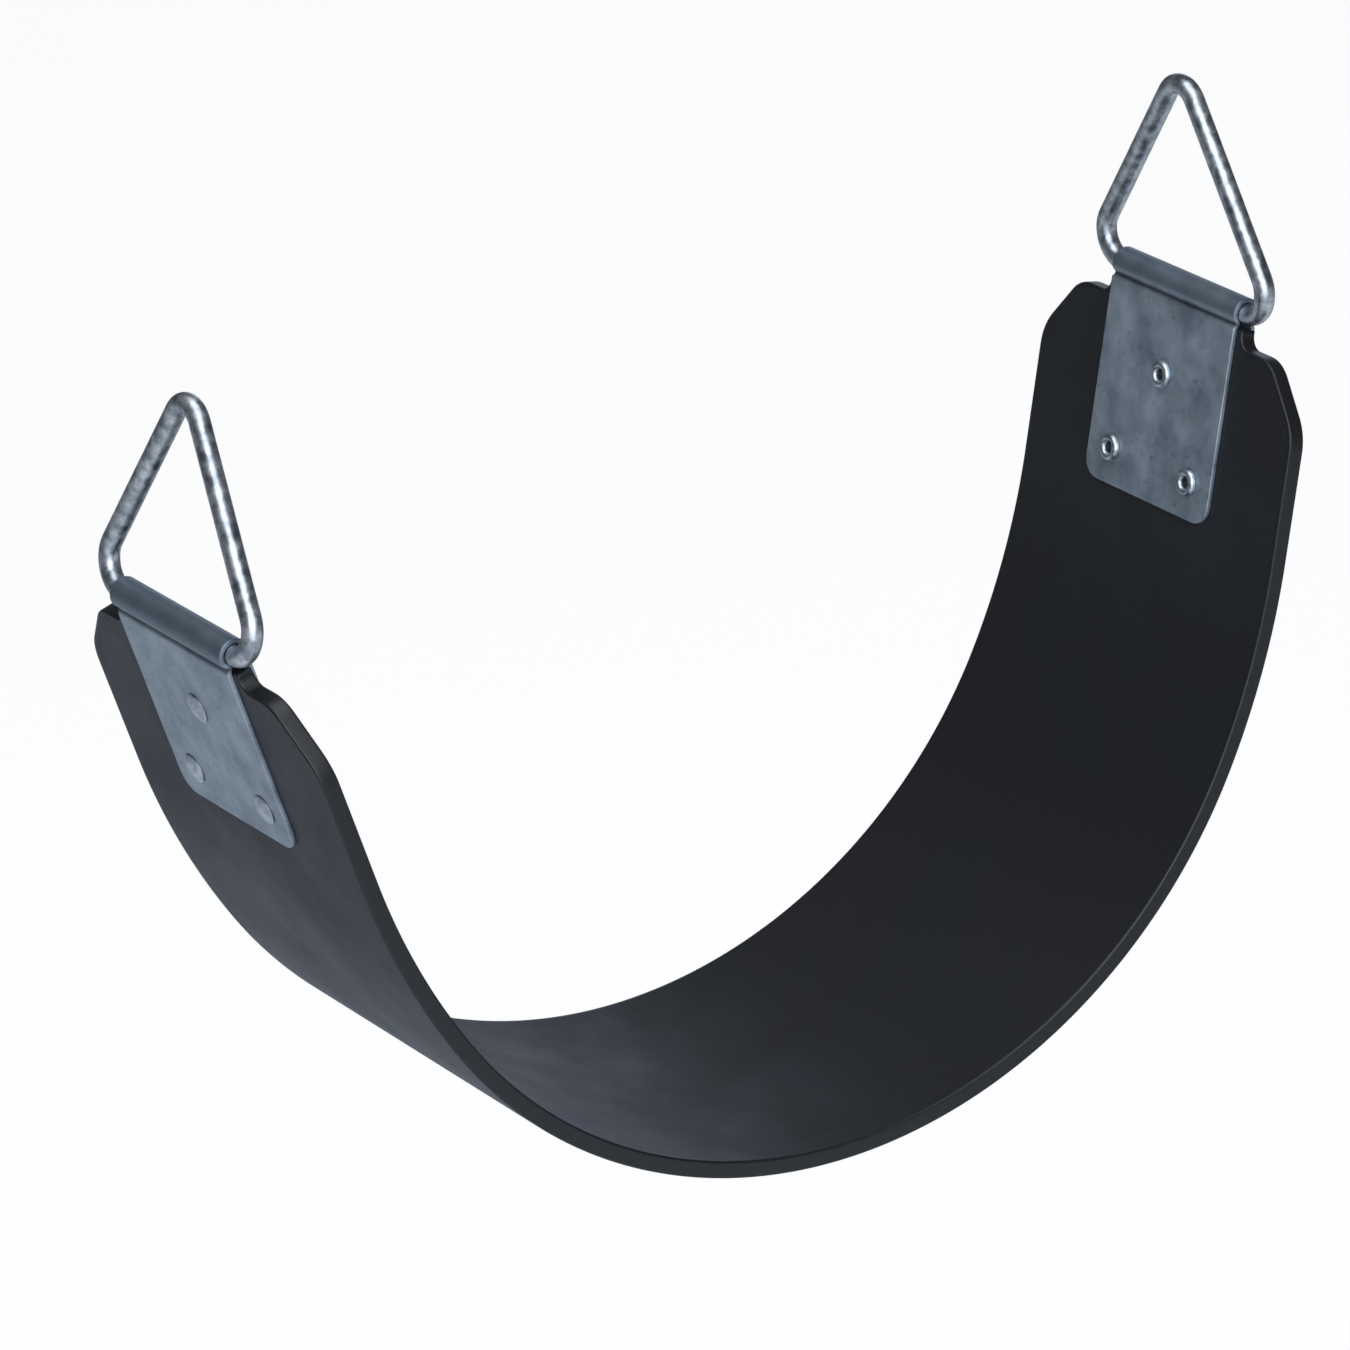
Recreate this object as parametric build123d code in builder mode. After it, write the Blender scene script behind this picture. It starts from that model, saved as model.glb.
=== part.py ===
"""Belt swing seat: a rubber belt, hung by folded steel straps from two triangular rings.

Frame: +X runs from the left ring to the right one, +Y from the front edge of the belt to the
back edge, +Z up. The origin is under the middle of the belt, at its lowest point.
"""

import math
import os

from build123d import *

os.makedirs("parts", exist_ok=True)

# ---------------------------------------------------------------- driving dimensions (mm, degrees)
# Belt. Its mid-surface hangs in a bottom arc, two flatter side arcs and two straight ends.
belt_width = 140.0
belt_thickness = 6.0
bottom_radius = 174.0
bottom_angle = 59.0  # slope where the bottom arc meets the side arc
side_radius = 254.0
end_angle = 75.5  # slope of the straight ends
end_run = 76.0  # from the end of the side arc up to the ring bar's axis
belt_edge_radius = 0.6

# End of the belt: a neck between the strap's legs, two shoulders, and a taper to full width.
neck_margin = 2.5  # neck beyond each side of the strap
bar_to_belt = 1.7  # gap between the ring bar and the end of the belt
neck_length = 5.8  # from the end of the belt down to the shoulders
shoulder_width = 16.5
taper_length = 20.5
neck_fillet = 4.5
shoulder_fillet = 12.0
taper_fillet = 18.0

# Woven ply moulded inside the belt.
ply_thickness = 1.2
ply_margin = 5.0  # rubber between the ply and the belt's outline

# Ring: a triangle of round bar, bent round three circles.
bar_diameter = 7.0
ring_height = 75.0  # from the axis of the lower bar to the top of the apex
apex_radius = 8.5  # bends are measured on the bar's centre line
corner_radius = 9.5
corner_gap = 0.5  # from the strap's side to the start of the ring's corner
ring_lean = {"left": -10.0, "right": 3.0}  # from upright, positive away from the seat

# Strap: steel sheet rolled round the ring's lower bar, with a leg on each face of the belt.
strap_thickness = 1.6
strap_width = 68.0
strap_length = 74.0  # from the ring bar's axis
strap_corner_radius = 7.0
bar_clearance = 0.25  # between the bar and the roll
crease_radius = 0.6  # where the roll turns into a leg, on the outside

# Semi-tubular rivets, three at each end: a domed head outside, a rolled tail inside.
rivet_diameter = 6.0
rivet_clearance = 0.1
upper_rivet_drop = 30.0  # from the ring bar's axis
lower_rivet_edge = 12.5  # from the strap's end, and from its side
head_diameter = 10.5
head_rim = 0.3
head_height = 1.5
tail_diameter = 9.6
tail_height = 1.7
tail_bore_diameter = 4.0
tail_bore_depth = 5.0  # from the strap's face

# ---------------------------------------------------------------- values that follow from them
half_belt = belt_thickness / 2
bar_radius = bar_diameter / 2
leg_outside = half_belt + strap_thickness  # from the belt's mid-surface
belt_end_drop = bar_radius + bar_to_belt
neck_half = strap_width / 2 + neck_margin
shoulder_drop = belt_end_drop + neck_length
shoulder_half = neck_half + shoulder_width
taper_drop = shoulder_drop + taper_length
end_depth = 4 * leg_outside  # enough to cut through a whole end
# A ring's leg is tangent to the corner's circle and to the apex's, whose centres are this far apart.
corner_side = strap_width / 2 + corner_gap
apex_rise = ring_height - bar_radius - apex_radius - corner_radius
bend_distance = math.hypot(corner_side, apex_rise)
leg_closing = math.asin((corner_radius - apex_radius) / bend_distance)
leg_turn = 180 - math.degrees(math.atan2(apex_rise, corner_side) - leg_closing)
leg_length = bend_distance * math.cos(leg_closing)
sides = {"left": -1, "right": 1}
lower_rivet_side = strap_width / 2 - lower_rivet_edge
lower_rivet_drop = strap_length - lower_rivet_edge
rivet_places = {
    "upper": (0, -upper_rivet_drop),
    "front": (-lower_rivet_side, -lower_rivet_drop),
    "back": (lower_rivet_side, -lower_rivet_drop),
}


def belt_line(distance, run):
    """Draws the right half of a line that far outside the belt's mid-surface, up to that run."""
    bottom = JernArc((0, half_belt - distance), (1, 0), bottom_radius + distance, bottom_angle)
    side = JernArc(bottom @ 1, bottom % 1, side_radius + distance, end_angle - bottom_angle)
    return Line(side @ 1, side @ 1 + (side % 1) * run)


with BuildLine() as mid_line:
    bar_place = belt_line(0, end_run) @ 1  # in the XZ plane


def end_plane(sign):
    """Gives an end's mid-surface plane: local y up the belt from the bar's axis, z outwards.

    The sign is -1 for the left end and 1 for the right one.
    """
    slope = math.radians(end_angle)
    bar_axis = Vector(sign * bar_place.X, 0, bar_place.Y)
    outward = Vector(sign * math.sin(slope), 0, -math.cos(slope))
    return Plane(origin=bar_axis, x_dir=(0, sign, 0), z_dir=outward)


def section_plane(sign, place=(0, 0)):
    """Gives the plane across an end at a place on it: local x up the belt, y out of its face."""
    end = end_plane(sign)
    origin = end.from_local_coords((*place, 0))
    return Plane(origin=origin, x_dir=end.y_dir, z_dir=end.y_dir.cross(end.z_dir))


def ring_plane(sign, lean_angle):
    """Gives a ring's plane: local x along its lower bar, local y up to its apex."""
    lean = math.radians(lean_angle)
    up = Vector(sign * math.sin(lean), 0, math.cos(lean))
    end = end_plane(sign)
    return Plane(origin=end.origin, x_dir=end.x_dir, z_dir=end.x_dir.cross(up))


def layer_section(thickness, end_drop):
    """Draws the section of a layer of the belt, whose ends stop that far below the bars' axes."""
    run = end_run - end_drop
    with BuildLine() as outline:
        outer = belt_line(thickness / 2, run)
        inner = belt_line(-thickness / 2, run)
        Line(outer @ 1, inner @ 1)
        Line((0, half_belt - thickness / 2), (0, half_belt + thickness / 2))
    make_face(outline.edges())
    mirror(about=Plane.YZ)


def corner_clips(margin):
    """Draws what a layer of the belt lacks on both sides of a neck, with a margin round it."""
    with BuildLine() as outline:
        FilletPolyline(
            (neck_half, belt_width),
            (neck_half, -shoulder_drop),
            (shoulder_half, -shoulder_drop),
            (belt_width / 2, -taper_drop),
            (belt_width / 2, -end_run),
            radius=(neck_fillet, shoulder_fillet, taper_fillet),
        )
        Polyline(
            (belt_width / 2, -end_run),
            (belt_width, -end_run),
            (belt_width, belt_width),
            (neck_half, belt_width),
        )
    make_face(outline.edges())
    if margin:
        offset(amount=margin)
    mirror(about=Plane.YZ)


def rivet_holes():
    """Draws the three rivet holes of an end."""
    with Locations(*rivet_places.values()):
        Circle(rivet_diameter / 2 + rivet_clearance)


def is_rim(edge):
    """Says whether an edge of the belt runs neither through it nor right across it."""
    through = math.isclose(edge.length, belt_thickness, abs_tol=0.001)
    across = math.isclose(edge.length, belt_width, abs_tol=0.001)
    return not through and not across


# ---------------------------------------------------------------- ply and belt
with BuildPart() as ply:
    with BuildSketch(Plane.XZ):
        layer_section(ply_thickness, belt_end_drop + ply_margin)
    extrude(amount=belt_width / 2 - ply_margin, both=True)
    for sign in sides.values():
        with BuildSketch(end_plane(sign)):
            corner_clips(ply_margin)
            rivet_holes()
        extrude(amount=end_depth, both=True, mode=Mode.SUBTRACT)
ply.part.label = "ply"
export_step(ply.part, "parts/ply.step")

with BuildPart() as belt:
    with BuildSketch(Plane.XZ):
        layer_section(belt_thickness, belt_end_drop)
    extrude(amount=belt_width / 2, both=True)
    for sign in sides.values():
        with BuildSketch(end_plane(sign)):
            corner_clips(0)
        extrude(amount=end_depth, both=True, mode=Mode.SUBTRACT)
    fillet(belt.edges().filter_by(is_rim), belt_edge_radius)
    for sign in sides.values():
        with BuildSketch(end_plane(sign)):
            rivet_holes()
        extrude(amount=end_depth, both=True, mode=Mode.SUBTRACT)
    add(ply.part, mode=Mode.SUBTRACT)
belt.part.label = "belt"
export_step(belt.part, "parts/belt.step")

# ---------------------------------------------------------------- rings, straps and rivets
for side, sign in sides.items():
    with BuildPart() as ring:
        with BuildLine(ring_plane(sign, ring_lean[side])) as half:
            lower_bar = Line((0, 0), (corner_side, 0))
            corner = JernArc(lower_bar @ 1, lower_bar % 1, corner_radius, leg_turn)
            leg = Line(corner @ 1, corner @ 1 + (corner % 1) * leg_length)
            JernArc(leg @ 1, leg % 1, apex_radius, 180 - leg_turn)
        with BuildSketch(Plane(origin=half.line @ 0, z_dir=half.line % 0)):
            Circle(bar_radius)
        sweep(path=half.wire())
        mirror(about=Plane.XZ)
    ring.part.label = f"{side}_ring"
    export_step(ring.part, f"parts/{side}_ring.step")

    with BuildPart() as strap:
        with BuildSketch(section_plane(sign)) as fold:
            roll_inside = bar_radius + bar_clearance
            Circle(roll_inside + strap_thickness)
            with Locations((-strap_length / 2, 0)):
                Rectangle(strap_length, 2 * leg_outside)
            Circle(roll_inside, mode=Mode.SUBTRACT)
            with Locations((-strap_length / 2, 0)):
                Rectangle(strap_length, belt_thickness, mode=Mode.SUBTRACT)
            # The creases are the corners nearest the bar: two inside, then two outside.
            fillet(fold.vertices().sort_by_distance((0, 0))[2:4], crease_radius)
            fillet(fold.vertices().sort_by_distance((0, 0))[:2], crease_radius + strap_thickness)
        extrude(amount=strap_width / 2, both=True)
        through = strap.edges().filter_by(Axis((0, 0, 0), end_plane(sign).z_dir))
        fillet(through, strap_corner_radius)
        with BuildSketch(end_plane(sign)):
            rivet_holes()
        extrude(amount=end_depth, both=True, mode=Mode.SUBTRACT)
    strap.part.label = f"{side}_strap"
    export_step(strap.part, f"parts/{side}_strap.step")

    for place, (across, height) in rivet_places.items():
        rivet_plane = section_plane(sign, (sign * across, height))
        with BuildPart() as rivet:
            with BuildSketch(rivet_plane):
                with BuildLine():
                    dome_top = (0, leg_outside + head_height)
                    dome_edge = (head_diameter / 2, leg_outside + head_rim)
                    TangentArc(dome_top, dome_edge, tangent=(1, 0))
                    Polyline(
                        dome_edge,
                        (head_diameter / 2, leg_outside),
                        (rivet_diameter / 2, leg_outside),
                        (rivet_diameter / 2, -leg_outside),
                        (tail_diameter / 2, -leg_outside),
                    )
                    ThreePointArc(
                        (tail_diameter / 2, -leg_outside),
                        ((tail_diameter + tail_bore_diameter) / 4, -leg_outside - tail_height),
                        (tail_bore_diameter / 2, -leg_outside),
                    )
                    Polyline(
                        (tail_bore_diameter / 2, -leg_outside),
                        (tail_bore_diameter / 2, tail_bore_depth - leg_outside),
                        (0, tail_bore_depth - leg_outside),
                        dome_top,
                    )
                make_face()
            revolve(axis=Axis(rivet_plane.origin, rivet_plane.y_dir))
        rivet.part.label = f"{side}_{place}_rivet"
        export_step(rivet.part, f"parts/{side}_{place}_rivet.step")
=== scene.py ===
"""Looks of the belt swing seat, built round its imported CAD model.

The belt, the straps, the rings and the rivets are modelled again in finer detail, each in the place
of its CAD node and on the same body, so they move with the part's own joints.
"""

import logging
import math
from collections.abc import Callable
from dataclasses import dataclass, field
from enum import Enum

import bmesh
import bpy
from mathutils import Matrix, Vector, noise
from mathutils.geometry import delaunay_2d_cdt
from mathutils.kdtree import KDTree


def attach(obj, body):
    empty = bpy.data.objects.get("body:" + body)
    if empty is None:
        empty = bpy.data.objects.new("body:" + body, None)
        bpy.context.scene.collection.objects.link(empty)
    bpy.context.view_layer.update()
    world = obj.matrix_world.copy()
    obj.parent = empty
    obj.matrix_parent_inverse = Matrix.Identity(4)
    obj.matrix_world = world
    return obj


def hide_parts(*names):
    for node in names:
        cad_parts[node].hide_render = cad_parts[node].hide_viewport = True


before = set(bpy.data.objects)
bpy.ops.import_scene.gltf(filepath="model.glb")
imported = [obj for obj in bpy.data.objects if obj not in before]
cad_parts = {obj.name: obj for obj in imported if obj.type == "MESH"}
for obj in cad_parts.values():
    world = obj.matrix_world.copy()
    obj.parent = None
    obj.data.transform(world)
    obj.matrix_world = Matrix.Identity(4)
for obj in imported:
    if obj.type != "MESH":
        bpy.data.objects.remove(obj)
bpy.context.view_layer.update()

MM = 0.001  # metres in a millimetre
SEAT_BODY = "seat"
log = logging.getLogger("belt_swing_seat")

Point = tuple[float, float]


class Side(Enum):
    """The two ends of the belt; the value is the sign of their X."""

    LEFT = -1
    RIGHT = 1

    @property
    def word(self) -> str:
        """The side's name as the nodes and bodies spell it."""
        return self.name.lower()


# ------------------------------------------------------------------------------------ small tools
def linear(hex_colour: str) -> tuple[float, float, float, float]:
    """Turns an sRGB hex colour into the linear colour that a shader takes.

    Args:
        hex_colour: Six hex digits, as in "8a949a".

    Returns:
        Linear red, green and blue, and an alpha of 1.
    """
    shades = [int(hex_colour[i : i + 2], 16) / 255 for i in (0, 2, 4)]
    return (*(s / 12.92 if s <= 0.04045 else ((s + 0.055) / 1.055) ** 2.4 for s in shades), 1.0)


def add_node(tree: bpy.types.NodeTree, kind: str, inputs: dict | None = None, **settings) -> bpy.types.Node:
    """Adds a node to a tree, with its settings, values and links.

    Args:
        tree: The tree that gets the node.
        kind: The node's type, such as "ShaderNodeTexNoise".
        inputs: Maps an input's name or number to a value, or to the socket that feeds it.
        settings: Properties of the node itself.

    Returns:
        The new node.
    """
    node = tree.nodes.new(kind)
    for name, value in settings.items():
        setattr(node, name, value)
    for key, value in (inputs or {}).items():
        if isinstance(value, bpy.types.NodeSocket):
            tree.links.new(value, node.inputs[key])
        else:
            node.inputs[key].default_value = value
    return node


def add_object(name: str, data: bpy.types.ID) -> bpy.types.Object:
    """Puts a mesh, a curve, a light or a camera into the scene as an object at the origin."""
    piece = bpy.data.objects.new(name, data)
    bpy.context.scene.collection.objects.link(piece)
    return piece


def closed_mesh(shape: bmesh.types.BMesh, name: str) -> bpy.types.Mesh:
    """Turns a closed shape into a smooth mesh whose faces point outwards, and frees the shape.

    Args:
        shape: The shape.
        name: The mesh's name.

    Returns:
        The mesh.
    """
    shape.normal_update()  # without it, points that have moved can turn the shape inside out
    bmesh.ops.recalc_face_normals(shape, faces=shape.faces)
    mesh = bpy.data.meshes.new(name)
    shape.to_mesh(mesh)
    shape.free()
    mesh.shade_smooth()
    return mesh


def arc(centre: Point, radius: float, start: float, end: float, step: float) -> list[Point]:
    """Points along an arc, both ends included.

    Args:
        centre: The arc's centre.
        radius: Its radius.
        start: The angle of its first point, in degrees.
        end: The angle of its last point, in degrees.
        step: The largest angle between two points, in degrees.

    Returns:
        The points in order.
    """
    count = max(1, math.ceil(abs(end - start) / step))
    angles = [math.radians(start + (end - start) * i / count) for i in range(count + 1)]
    return [(centre[0] + radius * math.cos(a), centre[1] + radius * math.sin(a)) for a in angles]


def rounded(corners: list[Point], radii: list[float], step: float = 6.0) -> list[Point]:
    """Rounds the inner corners of an open line.

    Args:
        corners: The line's points, ends included.
        radii: One radius for each corner between the ends.
        step: The largest angle between two points of an arc, in degrees.

    Returns:
        The line with an arc at each corner.
    """
    points = [corners[0]]
    for before, corner, after, radius in zip(corners, corners[1:], corners[2:], radii):
        here = Vector(corner)
        back = (Vector(before) - here).normalized()
        ahead = (Vector(after) - here).normalized()
        half = back.angle(ahead) / 2
        centre = here + (back + ahead).normalized() * radius / math.sin(half)
        first = here + back * radius / math.tan(half) - centre
        last = here + ahead * radius / math.tan(half) - centre
        start = math.degrees(math.atan2(first.y, first.x))
        turn = math.degrees(math.atan2(first.cross(last), first.dot(last)))
        points += arc(tuple(centre), radius, start, start + turn, step)
    return points + [corners[-1]]


def mirrored(quarter: list[Point]) -> list[Point]:
    """Closes a clockwise quarter of an outline with its mirror images."""
    half = quarter + [(along, -across) for along, across in reversed(quarter)]
    return half + [(-along, -across) for along, across in half]


# ---------------------------------------------------------------------------------------- finishes
@dataclass(frozen=True)
class Finish:
    """What every finish shares: a name, a slot name, and a shader with a bumped normal."""

    name: str
    slot: str

    def material(self) -> bpy.types.Material:
        """Makes the material, or gives the one that is already made.

        Returns:
            The finished material.
        """
        found = bpy.data.materials.get(self.name)
        if found:
            return found
        made = bpy.data.materials.new(self.name)
        made.use_nodes = True
        made.node_tree.nodes.clear()
        shader = add_node(made.node_tree, "ShaderNodeBsdfPrincipled", self.surface(made.node_tree))
        add_node(made.node_tree, "ShaderNodeOutputMaterial", {"Surface": shader.outputs["BSDF"]})
        return made

    def surface(self, tree: bpy.types.NodeTree) -> dict:
        """Adds the finish's own nodes; each kind of finish has its own.

        Args:
            tree: The material's tree.

        Returns:
            What goes into each of the shader's inputs.
        """
        raise NotImplementedError

    def wear(self, piece: bpy.types.Object) -> None:
        """Gives the finish to a piece."""
        piece.data.materials.clear()
        piece.data.materials.append(self.material())


def object_point(tree: bpy.types.NodeTree) -> bpy.types.NodeSocket:
    """The point being shaded, in the piece's own metres."""
    return add_node(tree, "ShaderNodeTexCoord").outputs["Object"]


def spots(
    tree: bpy.types.NodeTree, point: bpy.types.NodeSocket, size: float, detail: float
) -> bpy.types.NodeSocket:
    """Adds cloudy noise.

    Args:
        tree: The material's tree.
        point: Where the noise is taken.
        size: The size of one spot, in metres.
        detail: How many finer layers it has.

    Returns:
        Builds every piece in order.
    """
    values = {"Vector": point, "Scale": 1 / size, "Detail": detail, "Roughness": 0.6}
    return add_node(tree, "ShaderNodeTexNoise", values).outputs["Fac"]


def spread(
    tree: bpy.types.NodeTree,
    value: bpy.types.NodeSocket,
    low: float,
    high: float,
    to_low: float = 0.0,
    to_high: float = 1.0,
) -> bpy.types.NodeSocket:
    """Stretches the range from low to high over the range from to_low to to_high."""
    limits = {"Value": value, "From Min": low, "From Max": high, "To Min": to_low, "To Max": to_high}
    return add_node(tree, "ShaderNodeMapRange", limits).outputs["Result"]


def blend(
    tree: bpy.types.NodeTree,
    share: bpy.types.NodeSocket,
    first: str | bpy.types.NodeSocket,
    second: str,
) -> bpy.types.NodeSocket:
    """Mixes a colour with a hex colour.

    Args:
        tree: The material's tree.
        share: The share of the second colour.
        first: A hex colour, or the socket that gives one.
        second: A hex colour.

    Returns:
        The mixed colour.
    """
    start = linear(first) if isinstance(first, str) else first
    # A Mix node repeats its socket names for each data type, so its colours go by number.
    values = {0: share, 6: start, 7: linear(second)}
    return add_node(tree, "ShaderNodeMix", values, data_type="RGBA").outputs[2]


def worked_out(
    tree: bpy.types.NodeTree, operation: str, *values: float | bpy.types.NodeSocket
) -> bpy.types.NodeSocket:
    """Adds a sum, a product or another Math operation on the values."""
    return add_node(tree, "ShaderNodeMath", dict(enumerate(values)), operation=operation).outputs[0]


def bump(
    tree: bpy.types.NodeTree,
    height: bpy.types.NodeSocket,
    depth: float,
    under: bpy.types.NodeSocket | None = None,
) -> bpy.types.NodeSocket:
    """Adds relief of a real depth in metres, over the relief that is already there."""
    values = {"Height": height, "Distance": depth}
    if under:
        values["Normal"] = under
    return add_node(tree, "ShaderNodeBump", values).outputs["Normal"]


FLAT_MAP = "flat"  # metres along and across the sheet before it was bent
RIM = "rim"  # 1 on a sheet's rounded edge, 0 on its faces
SHARPEST = 0.5  # keeps the inset of a sharp corner from running away
SAME_PLACE = 0.001 * MM


@dataclass(frozen=True)
class MouldedRubber(Finish):
    """Black rubber cured in a steel mould.

    The mould leaves a fine stipple and a soft gloss. Wax that has come to the surface leaves patches
    of grey-blue bloom, which show most where the belt is seen at a low angle, and hands have rubbed
    the rim smoother. The rim is also painted a little lighter, partly wear and partly a painted highlight.
    """

    deep: str = "08090c"
    bloom: str = "101319"
    # lighter rim colour: partly wear, partly a painted highlight along the edge
    rubbed: str = "0d0f13"
    haze: str = "a9bbd6"
    roughness: tuple[float, float] = (0.62, 0.48)
    rim_roughness: float = 0.45
    patch: float = 45 * MM
    flow: float = 26 * MM
    flow_height: float = 0.25 * MM
    stipple: float = 0.9 * MM
    stipple_height: float = 0.05 * MM
    refraction: float = 1.5
    sheen: float = 0.11
    sheen_roughness: float = 0.35

    def surface(self, tree: bpy.types.NodeTree) -> dict:
        """Rubber: patches of bloom, stipple, faint flow marks, and a smoother rim painted lighter, partly
        as wear and partly as a painted highlight.
        """
        patches = spots(tree, object_point(tree), self.patch, detail=4.0)
        rim = add_node(tree, "ShaderNodeAttribute", attribute_name=RIM).outputs["Fac"]
        tint = blend(tree, spread(tree, patches, 0.38, 0.68), self.deep, self.bloom)
        gloss = spread(tree, patches, 0.3, 0.7, *self.roughness)
        rubbed = add_node(tree, "ShaderNodeMix", {0: rim, 2: gloss, 3: self.rim_roughness})
        flow = spots(tree, object_point(tree), self.flow, detail=1.0)
        soft = bump(tree, flow, self.flow_height)
        grain = spots(tree, object_point(tree), self.stipple, detail=3.0)
        return {
            # the rim gets the lighter colour: partly wear, partly a painted highlight
            "Base Color": blend(tree, rim, tint, self.rubbed),
            "Roughness": rubbed.outputs[0],
            "IOR": self.refraction,
            "Sheen Weight": self.sheen,
            "Sheen Roughness": self.sheen_roughness,
            "Sheen Tint": linear(self.haze),
            "Normal": bump(tree, grain, self.stipple_height, soft),
        }


@dataclass(frozen=True)
class GalvanisedSheet(Finish):
    """Steel sheet dipped in molten zinc, rolled, and weathered.

    The zinc froze in faint crystals, the spangles, and has since dulled to a cloudy blue-grey with
    small darker scuffs. It crazed where the sheet was rolled, so the roll is duller than the legs,
    and the groove under the roll is painted dark as a painted shadow.
    """

    pale: str = "adbac4"
    dark: str = "8694a1"
    scuff: str = "77848f"
    crazed: str = "6f7c87"
    # painted shadow: the dark colour of the groove under the roll
    dirt: str = "1c2226"
    roll_end: float = 9.6 * MM  # from the top of the roll, along the sheet
    roll_fade: float = 2 * MM
    crazing: float = 0.75
    groove: float = 10.9 * MM  # to the middle of the groove
    groove_half: float = 1.5 * MM
    soiling: float = 0.85
    spangle: float = 6 * MM
    spangle_share: float = 0.12
    cloud: float = 14 * MM
    cloud_height: float = 0.2 * MM
    scuff_size: float = 3 * MM
    scuff_height: float = 0.05 * MM
    metallic: float = 0.85  # the zinc has a thin oxide on it
    roughness: tuple[float, float] = (0.44, 0.6)

    def surface(self, tree: bpy.types.NodeTree) -> dict:
        """Zinc: spangles, cloudy patches, small scuffs, and the dull roll with a painted shadow in its
        groove.
        """
        point = object_point(tree)
        crystals = add_node(tree, "ShaderNodeTexVoronoi", {"Vector": point, "Scale": 1 / self.spangle})
        clouds = spots(tree, point, self.cloud, detail=6.0)
        mottle = worked_out(tree, "MULTIPLY_ADD", crystals.outputs["Color"], self.spangle_share, clouds)
        tint = blend(tree, spread(tree, mottle, 0.38, 0.72), self.dark, self.pale)
        scuffs = spots(tree, point, self.scuff_size, detail=5.0)
        marked = blend(tree, spread(tree, scuffs, 0.6, 0.72, 0.0, 0.7), tint, self.scuff)
        soft = bump(tree, clouds, self.cloud_height)
        return {
            "Base Color": self.rolled(tree, marked),
            "Metallic": self.metallic,
            "Roughness": spread(tree, clouds, 0.3, 0.7, *self.roughness),
            "Normal": bump(tree, scuffs, self.scuff_height, soft),
        }

    def rolled(self, tree: bpy.types.NodeTree, tint: bpy.types.NodeSocket) -> bpy.types.NodeSocket:
        """Dulls the roll and paints a shadow into the groove under it, by the distance along the flat
        sheet.

        Args:
            tree: The material's tree.
            tint: The colour of the sheet elsewhere.

        Returns:
            The colour with its roll and groove.
        """
        place = add_node(tree, "ShaderNodeUVMap", uv_map=FLAT_MAP).outputs["UV"]
        along = add_node(tree, "ShaderNodeSeparateXYZ", {"Vector": place}).outputs["X"]
        run = worked_out(tree, "ABSOLUTE", along)
        on_roll = spread(tree, run, self.roll_end - self.roll_fade, self.roll_end, self.crazing, 0.0)
        apart = worked_out(tree, "ABSOLUTE", worked_out(tree, "SUBTRACT", run, self.groove))
        # paints shade into the groove under the roll, darkest at its middle
        shadow_share = spread(tree, apart, 0.0, self.groove_half, self.soiling, 0.0)
        return blend(tree, shadow_share, blend(tree, on_roll, tint, self.crazed), self.dirt)


@dataclass(frozen=True)
class ZincBar(Finish):
    """Round steel bar, bent and then dipped in zinc.

    The zinc ran and froze in small lumps, so a highlight along the bar breaks up into bright and
    dark spots.
    """

    pale: str = "d3d8dc"
    dark: str = "8e979f"
    lump: float = 4 * MM
    lump_height: float = 0.09 * MM
    pit: float = 0.8 * MM
    pit_height: float = 0.02 * MM
    roughness: tuple[float, float] = (0.28, 0.46)

    def surface(self, tree: bpy.types.NodeTree) -> dict:
        """Zinc: lumps, a tone that follows them, and fine pits."""
        lumps = spots(tree, object_point(tree), self.lump, detail=3.0)
        pits = spots(tree, object_point(tree), self.pit, detail=2.0)
        soft = bump(tree, lumps, self.lump_height)
        return {
            "Base Color": blend(tree, spread(tree, lumps, 0.36, 0.64), self.dark, self.pale),
            "Metallic": 1.0,
            "Roughness": spread(tree, lumps, 0.3, 0.7, *self.roughness),
            "Normal": bump(tree, pits, self.pit_height, soft),
        }


@dataclass(frozen=True)
class WovenPly(Finish):
    """Undyed polyester cloth in plain weave, which soaks up rubber and stays dull."""

    thread: str = "c9bfa6"
    gap: str = "8d8470"
    pitch: float = 1.1 * MM
    thread_height: float = 0.2 * MM
    roughness: float = 0.85

    def surface(self, tree: bpy.types.NodeTree) -> dict:
        """Cloth: two crossed sets of threads."""
        # A wave texture's bands repeat each 2 pi / 20 at a scale of 1, so this gives one band a pitch.
        values = {"Vector": object_point(tree), "Scale": math.pi / (10 * self.pitch)}
        bands = [add_node(tree, "ShaderNodeTexWave", values, bands_direction=axis) for axis in ("Y", "Z")]
        threads = worked_out(tree, "MAXIMUM", *(band.outputs["Fac"] for band in bands))
        return {
            "Base Color": blend(tree, threads, self.gap, self.thread),
            "Roughness": self.roughness,
            "Normal": bump(tree, threads, self.thread_height),
        }


RUBBER = MouldedRubber("moulded_rubber", "belt_rubber")
SHEET = GalvanisedSheet("galvanised_sheet", "strap_steel")
BAR = ZincBar("zinc_bar", "ring_steel")
RIVET = ZincBar(
    "zinc_rivet", "rivet_steel", pale="ccd4da", dark="9eaab2", lump=3 * MM, lump_height=0.06 * MM
)
CLOTH = WovenPly("woven_ply", "ply_cloth")


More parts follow.
